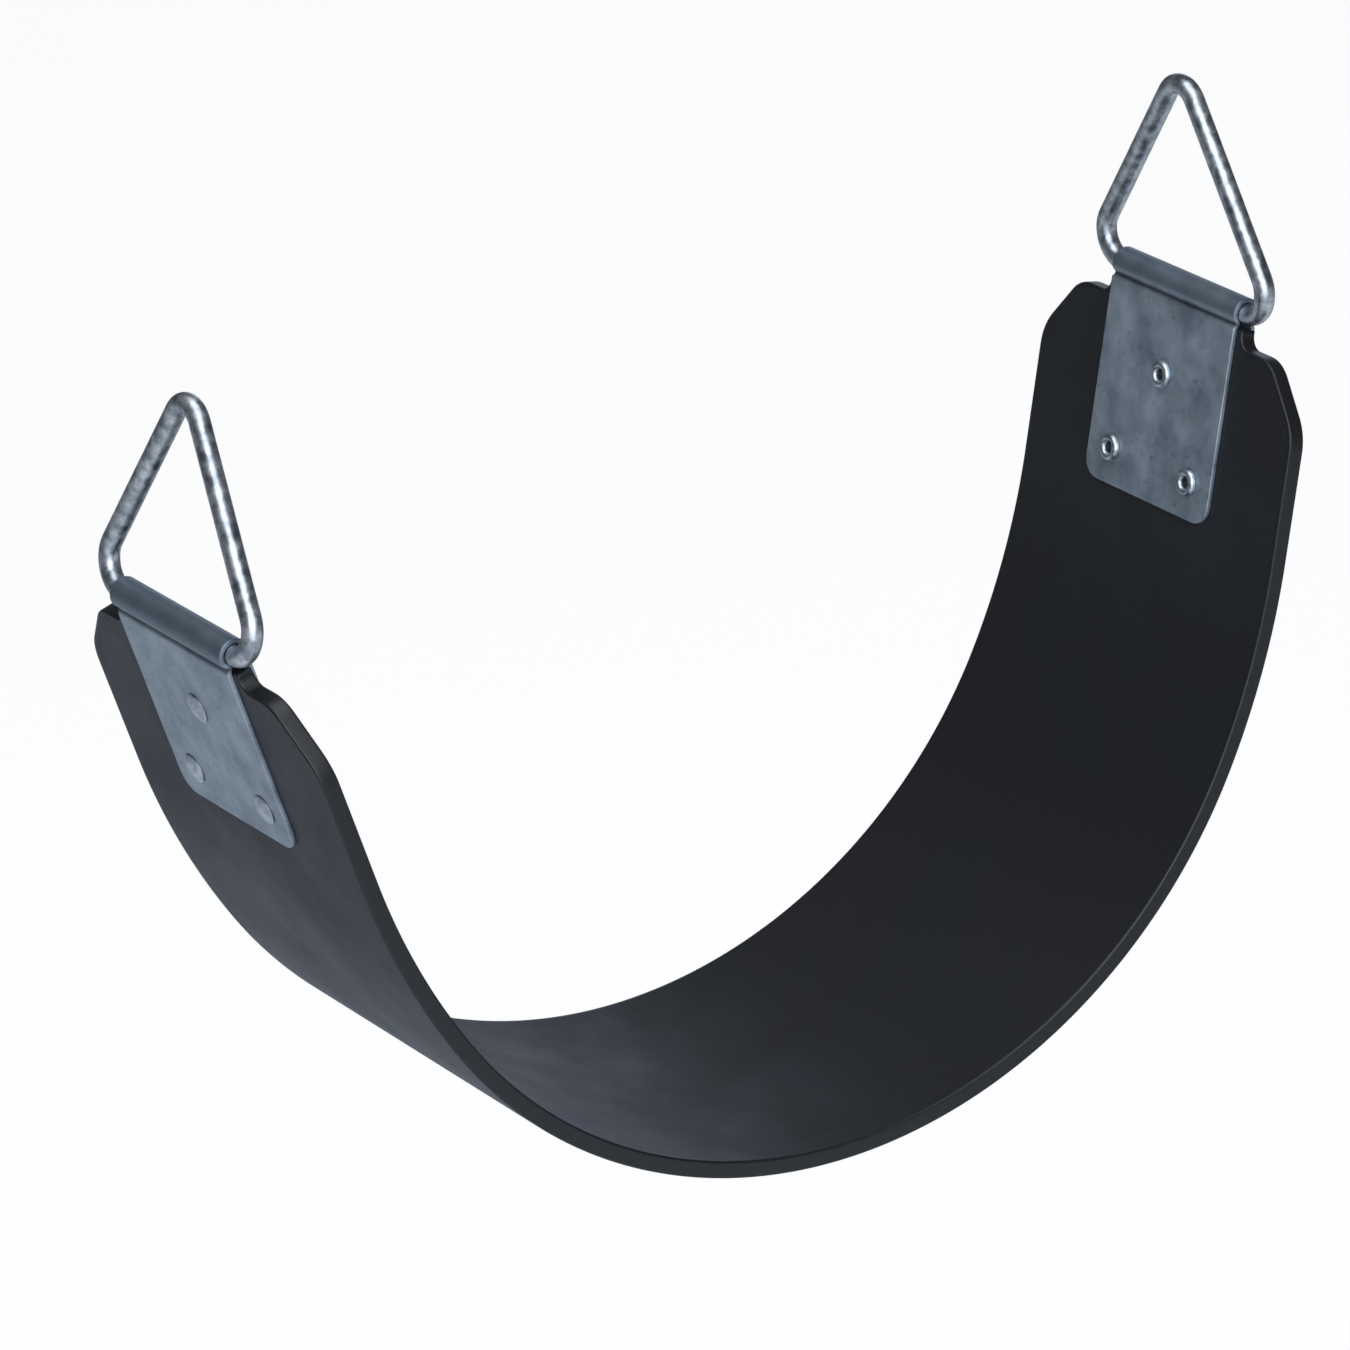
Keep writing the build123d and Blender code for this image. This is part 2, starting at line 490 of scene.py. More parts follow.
# ------------------------------------------------------------------------------------- flat sheets
@dataclass
class FlatSheet:
    """A flat sheet with round holes and a rounded rim, divided finely so that it can be bent."""

    outline: list[Point]  # clockwise
    holes: list[Point]
    hole_radius: float
    thickness: float
    rim_radius: float
    border: float  # from the rim to the first row of points on a face
    cell: tuple[float, float]  # largest spacing along and across
    rim_steps: int = 3
    hole_step: float = 15.0  # degrees
    merge_distance: float = 1e-7

    def bent(
        self, name: str, place: Callable[[Vector], Vector], finish: Finish
    ) -> bpy.types.Object:
        """Builds the sheet in the XY plane, with its mid-surface at Z = 0, and then bends it.

        Args:
            name: The piece's name.
            place: Gives a flat point's place on the bent sheet.
            finish: What the piece is finished with.

        Returns:
            The bent piece, with its flat map and its rim attribute.
        """
        circles = [arc(hole, self.hole_radius, 0, 360, self.hole_step)[:-1] for hole in self.holes]
        loops = [evened(self.outline, self.cell[0]), *circles]
        shape = bmesh.new()
        tops, bottoms = [], []
        for loop in loops:
            rings = [
                [shape.verts.new((*point, height)) for point in inset(loop, depth)]
                for depth, height in self.rim_section()
            ]
            for upper, lower in zip(rings, rings[1:]):
                for i in range(len(loop)):
                    shape.faces.new((upper[i - 1], upper[i], lower[i], lower[i - 1]))
            tops += rings[0]
            bottoms += rings[-1]
        rim_count = len(shape.verts)
        inner, triangles = self.face_cells(loops)
        tops += [shape.verts.new((*point, self.thickness / 2)) for point in inner]
        bottoms += [shape.verts.new((*point, -self.thickness / 2)) for point in inner]
        for triangle in triangles:
            shape.faces.new([tops[i] for i in triangle])
            shape.faces.new([bottoms[i] for i in reversed(triangle)])
        self.mark(shape, rim_count)
        bmesh.ops.delete(shape, geom=[v for v in shape.verts if not v.link_faces], context="VERTS")
        for vertex in shape.verts:
            vertex.co = place(vertex.co)
        piece = add_object(name, closed_mesh(shape, name))
        weighted = piece.modifiers.new("even_normals", "WEIGHTED_NORMAL")
        weighted.weight = 100  # the largest face wins, so that faces stay flat up to their rims
        finish.wear(piece)
        return piece

    def rim_section(self) -> list[Point]:
        """Draws the rounded rim: depths in from the outline, and heights, from top to bottom."""
        centre = (self.rim_radius, self.thickness / 2 - self.rim_radius)
        quarter = arc(centre, self.rim_radius, 90, 180, 90 / self.rim_steps)
        return quarter + [(depth, -height) for depth, height in reversed(quarter)]

    def face_cells(self, loops: list[list[Point]]) -> tuple[list[Point], list[list[int]]]:
        """Divides a face into triangles: a border that follows the rim, and an even grid inside it.

        Args:
            loops: The outline and the holes.

        Returns:
            The points inside the face, and triangles whose indices count the rim's points first.
        """
        rim = [point for loop in loops for point in inset(loop, self.rim_radius)]
        inner = [point for loop in loops for point in inset(loop, self.rim_radius + self.border)]
        near = KDTree(len(inner))
        for i, point in enumerate(inner):
            near.insert((*point, 0), i)
        near.balance()
        reach = [max(abs(point[axis]) for point in self.outline) for axis in (0, 1)]
        counts = [math.ceil(reach[axis] / self.cell[axis]) for axis in (0, 1)]
        for i in range(-counts[0], counts[0] + 1):
            for j in range(-counts[1], counts[1] + 1):
                point = (reach[0] * i / counts[0], reach[1] * j / counts[1])
                apart = near.find((*point, 0))[2] > self.cell[0] / 2 + self.border
                if apart and not self.in_hole(point):
                    inner.append(point)
        edges, first = [], 0
        for loop in loops:
            last = first + len(loop)
            edges += [(i, i + 1) for i in range(first, last - 1)] + [(last - 1, first)]
            first = last
        points = [Vector(point) for point in rim + inner]
        # Output type 1 keeps the triangles inside the outline.
        _, _, faces, sources, _, _ = delaunay_2d_cdt(points, edges, [], 1, self.merge_distance)
        triangles = []
        for face in faces:
            corners = [sources[i][0] for i in face]
            middle = sum((points[i] for i in corners), Vector((0, 0))) / 3
            if not self.in_hole(middle):
                triangles.append(corners)
        return inner, triangles

    def in_hole(self, place: Point) -> bool:
        """Says whether a place on a face lies inside one of the holes."""
        reach = (self.hole_radius + self.rim_radius) * math.cos(math.radians(self.hole_step / 2))
        return any(math.dist(place, hole) < reach for hole in self.holes)

    def mark(self, shape: bmesh.types.BMesh, rim_count: int) -> None:
        """Stores where each point lay on the flat sheet, and which points are on its rim."""
        flat = shape.loops.layers.uv.new(FLAT_MAP)
        rim = shape.verts.layers.float.new(RIM)
        for i, vertex in enumerate(shape.verts):
            vertex[rim] = float(i < rim_count)
        for face in shape.faces:
            for loop in face.loops:
                loop[flat].uv = loop.vert.co.xy


def evened(loop: list[Point], step: float) -> list[Point]:
    """Adds points to the long runs of a closed loop, so that none is longer than the step."""
    points = []
    for start, end in zip(loop, loop[1:] + loop[:1]):
        count = max(1, math.ceil(math.dist(start, end) / step))
        points += [tuple(Vector(start).lerp(Vector(end), i / count)) for i in range(count)]
    return points


def inset(loop: list[Point], depth: float) -> list[Point]:
    """Moves a closed loop to its right, which is into the sheet, by a depth.

    Args:
        loop: The loop's points: clockwise for an outline, the other way for a hole.
        depth: How far it moves.

    Returns:
        The moved loop, point for point.
    """
    points = []
    for before, here, after in zip(loop[-1:] + loop, loop, loop[1:] + loop[:1]):
        first = (Vector(here) - Vector(before)).normalized()
        second = (Vector(after) - Vector(here)).normalized()
        middle = (first + second).normalized()
        right = Vector((middle.y, -middle.x))
        points.append(tuple(Vector(here) + right * depth / max(SHARPEST, middle.dot(first))))
    return points


# ------------------------------------------------------------------------------------------ pieces
@dataclass
class Belt:
    """The rubber belt, hanging in a bottom arc, two flatter side arcs and two straight ends."""

    width: float = 140 * MM
    thickness: float = 6 * MM
    bottom_radius: float = 174 * MM
    bottom_angle: float = math.radians(59)
    side_radius: float = 254 * MM
    end_angle: float = math.radians(75.5)
    end_run: float = 76 * MM
    end_drop: float = 5.2 * MM  # from the bar's axis to the end of the belt
    neck_half: float = 36.5 * MM
    neck_length: float = 5.8 * MM
    shoulder_width: float = 16.5 * MM
    taper_length: float = 20.5 * MM
    fillets: tuple[float, float, float] = (4.5 * MM, 12 * MM, 18 * MM)
    rim_radius: float = 0.9 * MM
    border: float = 1.2 * MM
    cell: tuple[float, float] = (2.5 * MM, 7 * MM)

    def __post_init__(self) -> None:
        """Works out how long each arc is, and how far the mid-surface runs up to a ring bar's axis."""
        self.bottom_run = self.bottom_radius * self.bottom_angle
        self.side_run = self.side_radius * (self.end_angle - self.bottom_angle)
        self.length = self.bottom_run + self.side_run + self.end_run

    def spot(self, along: float, out: float) -> tuple[float, float]:
        """Gives X and Z of a point by its distance along the belt and out of its mid-surface.

        Args:
            along: Distance from the middle, negative to the left.
            out: Distance out of the mid-surface, positive underneath.

        Returns:
            X and Z.
        """
        sign, run = math.copysign(1, along), abs(along)
        slope = min(run, self.bottom_run) / self.bottom_radius
        x = self.bottom_radius * math.sin(slope)
        z = self.thickness / 2 + self.bottom_radius * (1 - math.cos(slope))
        rest = run - self.bottom_run
        if rest > 0:
            before, slope = slope, slope + min(rest, self.side_run) / self.side_radius
            x += self.side_radius * (math.sin(slope) - math.sin(before))
            z += self.side_radius * (math.cos(before) - math.cos(slope))
        rest -= self.side_run
        if rest > 0:
            x += rest * math.cos(slope)
            z += rest * math.sin(slope)
        return sign * (x + out * math.sin(slope)), z - out * math.cos(slope)

    def end(self, side: Side) -> "BeltEnd":
        """Gives the frame of one end: the bar's axis, and the directions down and out."""
        x, z = self.spot(side.value * self.length, 0)
        slope = self.end_angle
        down = Vector((-side.value * math.cos(slope), 0, -math.sin(slope)))
        out = Vector((side.value * math.sin(slope), 0, -math.cos(slope)))
        return BeltEnd(side, Vector((x, 0, z)), down, out)

    def outline(self) -> list[Point]:
        """Draws the flat belt: full width, two tapers, two shoulders and a neck at each end."""
        top = self.length - self.end_drop
        shoulder = top - self.neck_length
        half = self.width / 2
        corner = rounded(
            [
                (0, half),
                (shoulder - self.taper_length, half),
                (shoulder, self.neck_half + self.shoulder_width),
                (shoulder, self.neck_half),
                (top, self.neck_half),
            ],
            [self.fillets[2], self.fillets[1], self.fillets[0]],
        )[1:]
        return mirrored(corner)

    def build(self, rivets: "Rivets") -> bpy.types.Object:
        """Builds the belt round the rivets' holes.

        Args:
            rivets: What gives the places and size of the holes.

        Returns:
            The finished piece.
        """
        holes = [
            (side.value * (self.length - drop), across) for side in Side for across, drop in rivets.places
        ]
        sizes = (rivets.hole_radius, self.thickness, self.rim_radius, self.border, self.cell)
        flat = FlatSheet(self.outline(), holes, *sizes)

        def hang(point: Vector) -> Vector:
            """Gives a point of the flat belt its place on the hanging one."""
            x, z = self.spot(point.x, point.z)
            return Vector((x, point.y, z))

        piece = flat.bent("belt_moulding", hang, RUBBER)
        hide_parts("belt")
        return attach(piece, SEAT_BODY)


@dataclass
class BeltEnd:
    """The frame of one end of the belt: its origin is the middle of the ring bar's axis."""

    side: Side
    axis: Vector
    down: Vector
    out: Vector

    def spot(self, drop: float, across: float, out: float) -> Vector:
        """Gives the place of a point that far down the belt, across it and out of its middle."""
        return self.axis + self.down * drop + Vector((0, across, 0)) + self.out * out


@dataclass
class Strap:
    """The steel strap: a sheet rolled round the ring's lower bar, with a leg on each face."""

    thickness: float = 1.6 * MM
    width: float = 68 * MM
    length: float = 74 * MM
    corner_radius: float = 7 * MM
    roll_inside: float = 3.75 * MM
    crease_inside: float = 0.6 * MM
    rim_radius: float = 0.35 * MM
    groove_drop: float = 3.5 * MM  # the sheet is closed in between the bar and the end of the belt
    groove_depth: float = 1.1 * MM
    groove_reach: float = 1 * MM
    dimple_depth: float = 0.3 * MM
    dimple_reach: float = 8 * MM
    ripple: float = 0.18 * MM
    ripple_length: float = 18 * MM
    belt_half: float = 3 * MM
    border: float = 0.6 * MM
    cell: tuple[float, float] = (0.7 * MM, 2 * MM)

    def __post_init__(self) -> None:
        """Works out the fold: the crease's circle touches the roll's and the leg's line."""
        self.roll = self.roll_inside + self.thickness / 2
        self.crease = self.crease_inside + self.thickness / 2
        self.leg_out = self.belt_half + self.thickness / 2
        self.crease_out = self.leg_out + self.crease
        self.crease_drop = math.sqrt((self.roll + self.crease) ** 2 - self.crease_out**2)
        self.crease_start = math.atan2(self.crease_out, self.crease_drop)
        self.roll_run = self.roll * (math.pi - self.crease_start)
        self.crease_run = self.crease * (math.pi / 2 - self.crease_start)
        self.half_run = self.roll_run + self.crease_run + self.length - self.crease_drop

    def fold(self, run: float, out: float) -> tuple[float, float]:
        """Gives the drop and the distance out of a point of the folded sheet.

        Args:
            run: Distance along the sheet from the top of the roll, positive on the outer leg.
            out: Distance out of the sheet's mid-surface, away from the bar.

        Returns:
            Drop below the bar's axis, and distance out of the belt's middle.
        """
        sign, rest = math.copysign(1, run), abs(run)
        if rest <= self.roll_run:
            angle = rest / self.roll
            return -(self.roll + out) * math.cos(angle), sign * (self.roll + out) * math.sin(angle)
        rest -= self.roll_run
        if rest <= self.crease_run:
            angle = self.crease_start + rest / self.crease
            radius = self.crease - out
            drop = self.crease_drop - radius * math.cos(angle)
            return drop, sign * (self.crease_out - radius * math.sin(angle))
        return self.crease_drop + rest - self.crease_run, sign * (self.leg_out + out)

    def outline(self) -> list[Point]:
        """Draws the flat strap: a rectangle with rounded corners."""
        run, half = self.half_run, self.width / 2
        corner = rounded([(0, half), (run, half), (run, 0)], [self.corner_radius])[1:-1]
        return mirrored(corner)

    def dimples(self, drop: float, across: float, places: tuple[Point, ...]) -> float:
        """Gives how far the sheet is drawn in by its rivets, and by its own ripple.

        Args:
            drop: Distance below the bar's axis.
            across: Distance from the middle of the sheet.
            places: The rivets' places, across and down.

        Returns:
            The depth.
        """
        near = min(math.hypot(drop - d, across - a) for a, d in places)
        pulled = self.dimple_depth * math.exp(-((near / self.dimple_reach) ** 2))
        waves = noise.noise(Vector((drop, across, 0)) / self.ripple_length)
        return pulled + self.ripple * max(0.0, waves)

    def build(self, end: BeltEnd, rivets: "Rivets") -> bpy.types.Object:
        """Builds one strap.

        Args:
            end: The belt's end that the strap hangs from.
            rivets: What gives the places and size of the holes.

        Returns:
            The finished piece.
        """
        holes = [
            (leg * (self.half_run - self.length + drop), across)
            for leg in (-1, 1)
            for across, drop in rivets.places
        ]
        sizes = (rivets.hole_radius, self.thickness, self.rim_radius, self.border, self.cell)
        flat = FlatSheet(self.outline(), holes, *sizes)

        def wrap(point: Vector) -> Vector:
            """Gives a point of the flat strap its place on the folded one."""
            drop, out = self.fold(point.x, point.z)
            if drop > 0:
                aside = (drop - self.groove_drop) / self.groove_reach
                out -= math.copysign(self.groove_depth * math.exp(-(aside**2)), out)
            if point.z > 0 and drop > self.crease_drop:
                drawn = self.dimples(drop, point.y, rivets.places)
                out -= math.copysign(drawn, out)
            return end.spot(drop, point.y, out)

        piece = flat.bent(f"{end.side.word}_strap_sheet", wrap, SHEET)
        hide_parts(f"{end.side.word}_strap")
        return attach(piece, SEAT_BODY)


@dataclass
class Ring:
    """The triangular ring: round bar bent round an apex circle and two corner circles."""

    bar_radius: float = 3.5 * MM
    height: float = 75 * MM
    apex_radius: float = 8.5 * MM
    corner_radius: float = 9.5 * MM
    corner_side: float = 34.5 * MM
    leans: dict[Side, float] = field(default_factory=lambda: {Side.LEFT: -10.0, Side.RIGHT: 3.0})
    bend_step: float = 5.0  # degrees
    dent_depth: float = 0.12 * MM
    dent_size: float = 9 * MM

    def centre_line(self) -> list[Point]:
        """Draws the bar's centre line, from the middle of the lower bar right round to it."""
        rise = self.height - self.bar_radius - self.apex_radius - self.corner_radius
        apart = math.hypot(self.corner_side, rise)
        closing = math.asin((self.corner_radius - self.apex_radius) / apart)
        turn = 180 - math.degrees(math.atan2(rise, self.corner_side) - closing)
        step = self.bend_step
        corner = arc((self.corner_side, self.corner_radius), self.corner_radius, -90, turn - 90, step)
        apex = arc((0, rise + self.corner_radius), self.apex_radius, turn - 90, 90, step)
        half = corner + apex
        return half + [(-across, up) for across, up in reversed(half[:-1])]

    def build(self, end: BeltEnd) -> bpy.types.Object:
        """Builds one ring, standing on its bar's axis at the angle at which it rests.

        Args:
            end: The belt's end that the ring hangs the seat by.

        Returns:
            The finished piece.
        """
        lean = math.radians(self.leans[end.side])
        up = Vector((end.side.value * math.sin(lean), 0, math.cos(lean)))
        name = f"{end.side.word}_ring_bar"
        curve = bpy.data.curves.new(name, "CURVE")
        curve.dimensions = "3D"
        line = self.centre_line()
        spline = curve.splines.new("POLY")
        spline.points.add(len(line) - 1)
        for point, (across, height) in zip(spline.points, line):
            point.co = (*(end.axis + Vector((0, across, 0)) + up * height), 1)
        spline.use_cyclic_u = True
        values = {"Bar Radius": self.bar_radius, "Dent Depth": self.dent_depth, "Dent Size": self.dent_size}
        piece = grow(add_object(name, curve), self.sweep_tree(), values, BAR)
        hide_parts(f"{end.side.word}_ring")
        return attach(piece, f"{end.side.word}_ring")

    def sweep_tree(self) -> bpy.types.NodeTree:
        """Makes the tree that sweeps a round bar along a curve and dents it a little.

        Returns:
            A tree with the inputs Geometry, Bar Radius, Sides, Spacing, Dent Depth, Dent Size and Finish.
        """
        found = bpy.data.node_groups.get("bent_bar")
        if found:
            return found
        tree = new_tree(
            "bent_bar",
            [
                ("Bar Radius", "NodeSocketFloat", 3.5 * MM),
                ("Sides", "NodeSocketInt", 32),
                ("Spacing", "NodeSocketFloat", 1.5 * MM),
                ("Dent Depth", "NodeSocketFloat", 0.12 * MM),
                ("Dent Size", "NodeSocketFloat", 9 * MM),
                ("Finish", "NodeSocketMaterial", None),
            ],
        )
        given = add_node(tree, "NodeGroupInput")
        round_section = {"Resolution": given.outputs["Sides"], "Radius": given.outputs["Bar Radius"]}
        profile = add_node(tree, "GeometryNodeCurvePrimitiveCircle", round_section)
        spacing = {"Curve": given.outputs["Geometry"], "Length": given.outputs["Spacing"]}
        even = add_node(tree, "GeometryNodeResampleCurve", spacing, mode="LENGTH")
        path = {"Curve": even.outputs["Curve"], "Profile Curve": profile.outputs["Curve"]}
        swept = add_node(tree, "GeometryNodeCurveToMesh", path)
        per_metre = worked_out(tree, "DIVIDE", 1.0, given.outputs["Dent Size"])
        rough = add_node(tree, "ShaderNodeTexNoise", {"Scale": per_metre, "Detail": 2.0, "Roughness": 0.5})
        centred = worked_out(tree, "SUBTRACT", rough.outputs["Fac"], 0.5)
        depth = worked_out(tree, "MULTIPLY", centred, given.outputs["Dent Depth"])
        outwards = add_node(tree, "GeometryNodeInputNormal").outputs["Normal"]
        shift = add_node(tree, "ShaderNodeVectorMath", {0: outwards, "Scale": depth}, operation="SCALE")
        moved = {"Geometry": swept.outputs["Mesh"], "Offset": shift.outputs["Vector"]}
        dented = add_node(tree, "GeometryNodeSetPosition", moved)
        smooth = add_node(tree, "GeometryNodeSetShadeSmooth", {"Geometry": dented.outputs["Geometry"]})
        finish_tree(tree, smooth.outputs["Geometry"], given.outputs["Finish"])
        return tree


def new_tree(name: str, inputs: list[tuple]) -> bpy.types.NodeTree:
    """Makes an empty geometry tree with named inputs.

    Args:
        name: The tree's name.
        inputs: A name, a socket type and a default value for each input.

    Returns:
        The tree, with a Geometry input and output.
    """
    tree = bpy.data.node_groups.new(name, "GeometryNodeTree")
    tree.interface.new_socket("Geometry", in_out="INPUT", socket_type="NodeSocketGeometry")
    tree.interface.new_socket("Geometry", in_out="OUTPUT", socket_type="NodeSocketGeometry")
    for label, kind, value in inputs:
        socket = tree.interface.new_socket(label, in_out="INPUT", socket_type=kind)
        if value is not None:
            socket.default_value = value
    return tree


def finish_tree(
    tree: bpy.types.NodeTree, geometry: bpy.types.NodeSocket, finish: bpy.types.NodeSocket
) -> None:
    """Ends a tree: its instances become real, and get their material."""
    real = add_node(tree, "GeometryNodeRealizeInstances", {"Geometry": geometry}).outputs["Geometry"]
    dressed = add_node(tree, "GeometryNodeSetMaterial", {"Geometry": real, "Material": finish})
    add_node(tree, "NodeGroupOutput", {"Geometry": dressed.outputs["Geometry"]})


def grow(
    source: bpy.types.Object, tree: bpy.types.NodeTree, values: dict, finish: Finish
) -> bpy.types.Object:
    """Runs a tree on an object, and puts a finished plain piece in the object's place.

    Args:
        source: The object that the tree starts from.
        tree: The tree.
        values: A value for each of the tree's inputs, by its name; the Finish input is set here.
        finish: What the piece is finished with.

    Returns:
        The piece, which takes over the object's name.
    """
    modifier = source.modifiers.new(tree.name, "NODES")
    modifier.node_group = tree
    values = {**values, "Finish": finish.material()}
    for item in tree.interface.items_tree:
        if item.in_out == "INPUT" and item.name in values:
            modifier[item.identifier] = values[item.name]
    name = source.name
    depsgraph = bpy.context.evaluated_depsgraph_get()
    mesh = bpy.data.meshes.new_from_object(source.evaluated_get(depsgraph))
    mesh.name = name
    bpy.data.objects.remove(source)
    piece = add_object(name, mesh)
    finish.wear(piece)
    return piece


@dataclass
class Rivets:
    """Six semi-tubular rivets: a domed head outside, a rolled tail inside."""

    places: tuple[Point, ...] = ((0.0, 30 * MM), (-21.5 * MM, 61.5 * MM), (21.5 * MM, 61.5 * MM))
    shank_radius: float = 3 * MM
    hole_radius: float = 3.1 * MM
    head_radius: float = 5.25 * MM
    head_rim: float = 0.3 * MM
    head_height: float = 1.5 * MM
    tail_radius: float = 4.8 * MM
    tail_height: float = 1.7 * MM
    bore_radius: float = 2 * MM
    bore_depth: float = 5 * MM
    grip: float = 4.6 * MM  # from the belt's mid-surface to a leg's outer face
    dome_step: float = 3.0  # degrees
    tail_steps: int = 12
    sides: int = 32
    sharp_angle: float = math.radians(50)

    def profile(self) -> list[Point]:
        """Draws half of a rivet's section, from the top of its head to the floor of its bore."""
        rise = self.head_height - self.head_rim
        dome_radius = (self.head_radius**2 + rise**2) / (2 * rise)
        centre = (0.0, self.grip + self.head_height - dome_radius)
        edge = math.degrees(math.acos(self.head_radius / dome_radius))
        dome = arc(centre, dome_radius, 90, edge, self.dome_step)
        lip = (self.tail_radius - self.bore_radius) / 2
        roll = [
            (self.bore_radius + lip + lip * math.cos(a), -self.grip - self.tail_height * math.sin(a))
            for a in (math.pi * i / self.tail_steps for i in range(self.tail_steps + 1))
        ]
        return [
            *dome,
            (self.head_radius, self.grip),
            (self.shank_radius, self.grip),
            (self.shank_radius, -self.grip),
            *roll,
            (self.bore_radius, self.bore_depth - self.grip),
            (0.0, self.bore_depth - self.grip),
        ]

    def pattern(self) -> bpy.types.Object:
        """Turns the profile on a lathe, along Z.

        Returns:
            One rivet at the origin, for the tree to repeat.
        """
        shape = bmesh.new()
        line = [shape.verts.new((radius, 0, height)) for radius, height in self.profile()]
        edges = [shape.edges.new(pair) for pair in zip(line, line[1:])]
        bmesh.ops.spin(
            shape,
            geom=line + edges,
            cent=(0, 0, 0),
            axis=(0, 0, 1),
            angle=math.tau,
            steps=self.sides,
            use_merge=True,
        )
        bmesh.ops.remove_doubles(shape, verts=shape.verts, dist=SAME_PLACE)
        mesh = closed_mesh(shape, "rivet_pattern")
        mesh.set_sharp_from_angle(angle=self.sharp_angle)
        return add_object("rivet_pattern", mesh)

    def build(self, ends: list[BeltEnd]) -> bpy.types.Object:
        """Builds the six rivets as one piece of six separate solids.

        Args:
            ends: The belt's two ends.

        Returns:
            The finished piece.
        """
        centres = [end.spot(drop, across, 0) for end in ends for across, drop in self.places]
        turns = [end.out for end in ends for _ in self.places]
        mesh = bpy.data.meshes.new("rivet_centres")
        mesh.from_pydata(centres, [], [])
        out = mesh.attributes.new("out", "FLOAT_VECTOR", "POINT")
        out.data.foreach_set("vector", [value for turn in turns for value in turn])
        pattern = self.pattern()
        piece = grow(add_object("rivets", mesh), self.rivet_tree(), {"Rivet": pattern}, RIVET)
        bpy.data.objects.remove(pattern)
        names = [f"{end.side.word}_{place}_rivet" for end in ends for place in ("upper", "front", "back")]
        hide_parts(*names)
        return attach(piece, SEAT_BODY)

    def rivet_tree(self) -> bpy.types.NodeTree:
        """Makes the tree that sets a rivet at each spot, turned along its hole.

        Returns:
            A tree with the inputs Geometry, Rivet, Seed and Finish.
        """
        tree = new_tree(
            "set_rivets",
            [
                ("Rivet", "NodeSocketObject", None),
                ("Seed", "NodeSocketInt", 7),
                ("Finish", "NodeSocketMaterial", None),
            ],
        )
        given = add_node(tree, "NodeGroupInput")
        rivet = add_node(tree, "GeometryNodeObjectInfo", {"Object": given.outputs["Rivet"]})
        out = add_node(tree, "GeometryNodeInputNamedAttribute", {"Name": "out"}, data_type="FLOAT_VECTOR")
        along = {"Vector": out.outputs["Attribute"]}
        aimed = add_node(tree, "FunctionNodeAlignRotationToVector", along, axis="Z")
        any_turn = {"Min": 0.0, "Max": math.tau, "Seed": given.outputs["Seed"]}
        # A Random Value node repeats its socket names for each data type; number 1 is the plain value.
        spin = add_node(tree, "FunctionNodeRandomValue", any_turn).outputs[1]
        spun = add_node(tree, "FunctionNodeAxisAngleToRotation", {"Axis": (0, 0, 1), "Angle": spin})
        both = {"Rotation": aimed.outputs["Rotation"], "Rotate By": spun.outputs["Rotation"]}
        turned = add_node(tree, "FunctionNodeRotateRotation", both, rotation_space="LOCAL")
        points = add_node(tree, "GeometryNodeMeshToPoints", {"Mesh": given.outputs["Geometry"]})
        setting = {
            "Points": points.outputs["Points"],
            "Instance": rivet.outputs["Geometry"],
            "Rotation": turned.outputs["Rotation"],
        }
        placed = add_node(tree, "GeometryNodeInstanceOnPoints", setting)
        finish_tree(tree, placed.outputs["Instances"], given.outputs["Finish"])
        return tree


# ------------------------------------------------------------------------------------------- stage
@dataclass(frozen=True)
class Softbox:
    """A round soft light, with the brightness that a reflection of it would show."""

    name: str
    place: tuple[float, float, float]
    size: float
    brightness: float
    tint: str = "f4f8ff"

    def hang(self, aim: Vector) -> None:
        """Hangs the light where it belongs, facing a point."""
        data = bpy.data.lights.new(self.name, "AREA")
        data.shape = "DISK"
        data.size = self.size
        data.energy = self.brightness * math.pi * math.pi * self.size**2 / 4
        data.color = linear(self.tint)[:3]
        lamp = add_object(self.name, data)
        lamp.location = self.place
        lamp.rotation_euler = (Vector(self.place) - aim).to_track_quat("Z", "Y").to_euler()


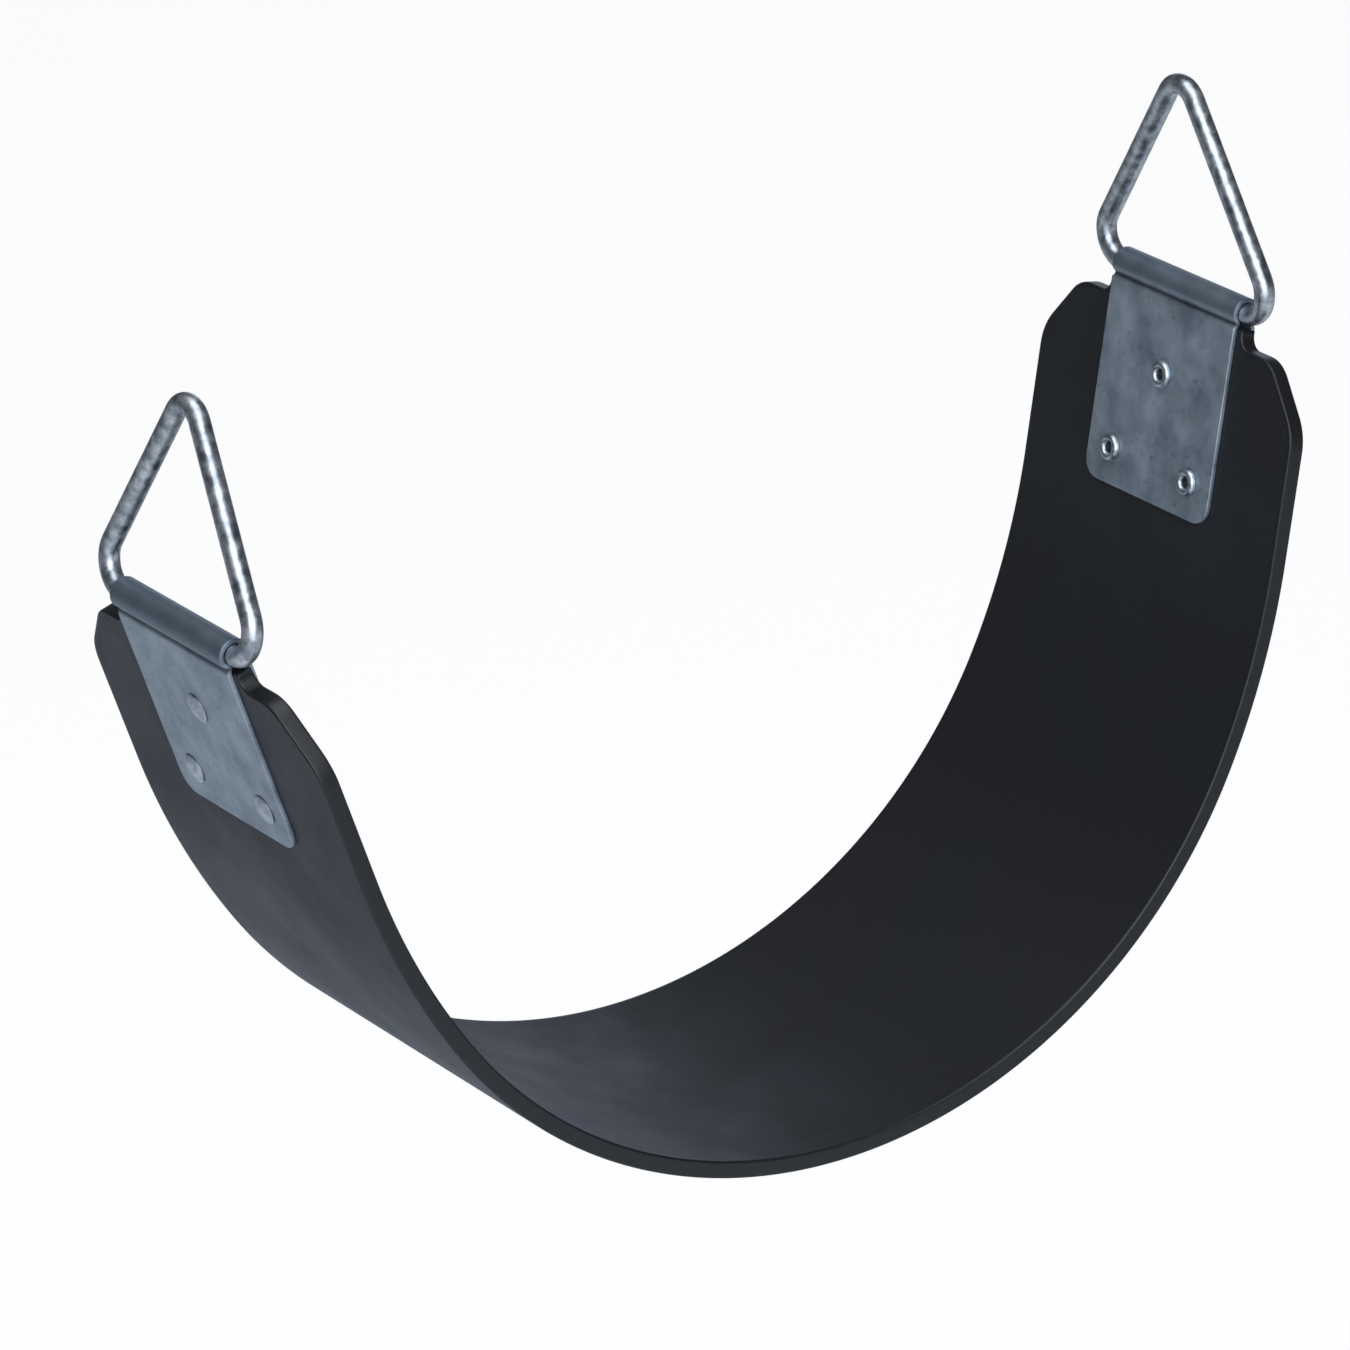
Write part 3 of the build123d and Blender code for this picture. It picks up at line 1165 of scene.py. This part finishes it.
@dataclass
class Studio:
    """A pale floor, soft lights, and the camera."""

    floor_drop: float = 0.32
    floor_half: float = 15.0
    azimuth: float = math.radians(-31.55)
    elevation: float = math.radians(23.88)
    roll: float = math.radians(-5.25)
    distance: float = 2.741
    lens: float = 224.2  # mm
    sensor: float = 36.0  # mm
    target: Vector = field(default_factory=lambda: Vector((-0.017, 0.0, 0.1535)))
    room_light: float = 0.12
    white_share: float = 0.85  # how far the floor looks evenly white
    white_glow: float = 1.08
    softboxes: tuple[Softbox, ...] = (
        Softbox("overhead", (-0.2, -0.2, 2.2), 2.0, 2.6),
        Softbox("front", (-1.2, -2.4, 1.4), 3.2, 3.5),
        Softbox("back", (2.4, 2.9, 0.6), 1.8, 1.15, "dfe9ff"),
    )

    def build(self) -> None:
        """Sets the stage."""
        self.floor()
        self.camera()
        for softbox in self.softboxes:
            softbox.hang(self.target)
        self.room()

    def floor(self) -> None:
        """Lays a plain pale floor below the hanging seat."""
        half, low = self.floor_half, -self.floor_drop
        corners = [(-half, -half, low), (half, -half, low), (half, half, low), (-half, half, low)]
        mesh = bpy.data.meshes.new("floor")
        mesh.from_pydata(corners, [], [(0, 1, 2, 3)])
        mesh.materials.append(self.floor_paint())
        add_object("floor", mesh)

    def floor_paint(self) -> bpy.types.Material:
        """Mixes a pale paint that looks evenly lit but throws little light back at the seat."""
        paint = bpy.data.materials.new("floor_paint")
        paint.use_nodes = True
        tree = paint.node_tree
        tree.nodes.clear()
        seen = add_node(tree, "ShaderNodeLightPath").outputs["Is Camera Ray"]
        share = worked_out(tree, "MULTIPLY", seen, self.white_share)
        matt = add_node(tree, "ShaderNodeBsdfDiffuse", {"Color": linear("e4e8ec")})
        white = {"Color": linear("ffffff"), "Strength": self.white_glow}
        glow = add_node(tree, "ShaderNodeEmission", white)
        both = add_node(tree, "ShaderNodeMixShader", {0: share, 1: matt.outputs[0], 2: glow.outputs[0]})
        add_node(tree, "ShaderNodeOutputMaterial", {"Surface": both.outputs[0]})
        return paint

    def camera(self) -> None:
        """Sets the camera: a long lens, from the front left and above, rolled a little."""
        a, e = self.azimuth, self.elevation
        back = Vector((math.sin(a) * math.cos(e), -math.cos(a) * math.cos(e), math.sin(e)))
        level = Vector((math.cos(a), math.sin(a), 0))
        upright = back.cross(level)
        right = level * math.cos(self.roll) + upright * math.sin(self.roll)
        up = upright * math.cos(self.roll) - level * math.sin(self.roll)
        data = bpy.data.cameras.new("camera")
        data.lens = self.lens
        data.sensor_width = self.sensor
        data.clip_end = 100
        camera = add_object("camera", data)
        turn = Matrix((right, up, back)).transposed().to_4x4()
        camera.matrix_world = Matrix.Translation(self.target + back * self.distance) @ turn
        bpy.context.scene.camera = camera

    def room(self) -> None:
        """Fills the room with a little light; what is seen past the floor is white."""
        world = bpy.data.worlds.new("room")
        bpy.context.scene.world = world
        world.use_nodes = True
        tree = world.node_tree
        tree.nodes.clear()
        seen = add_node(tree, "ShaderNodeLightPath").outputs["Is Camera Ray"]
        strength = spread(tree, seen, 0.0, 1.0, self.room_light, 1.0)
        light = add_node(tree, "ShaderNodeBackground", {"Color": linear("eef3fb"), "Strength": strength})
        add_node(tree, "ShaderNodeOutputWorld", {"Surface": light.outputs[0]})
        bpy.context.scene.view_settings.view_transform = "Standard"


def main() -> None:
    """Builds every piece in order, and reports each one."""
    logging.basicConfig(level=logging.INFO, format="%(name)s: %(message)s")
    belt, strap, ring, rivets = Belt(), Strap(), Ring(), Rivets()
    ends = [belt.end(side) for side in Side]
    pieces = [belt.build(rivets)]
    for end in ends:
        pieces += [strap.build(end, rivets), ring.build(end)]
    pieces.append(rivets.build(ends))
    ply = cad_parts["ply"]
    CLOTH.wear(ply)
    Studio().build()


if __name__ == "__main__":
    main()
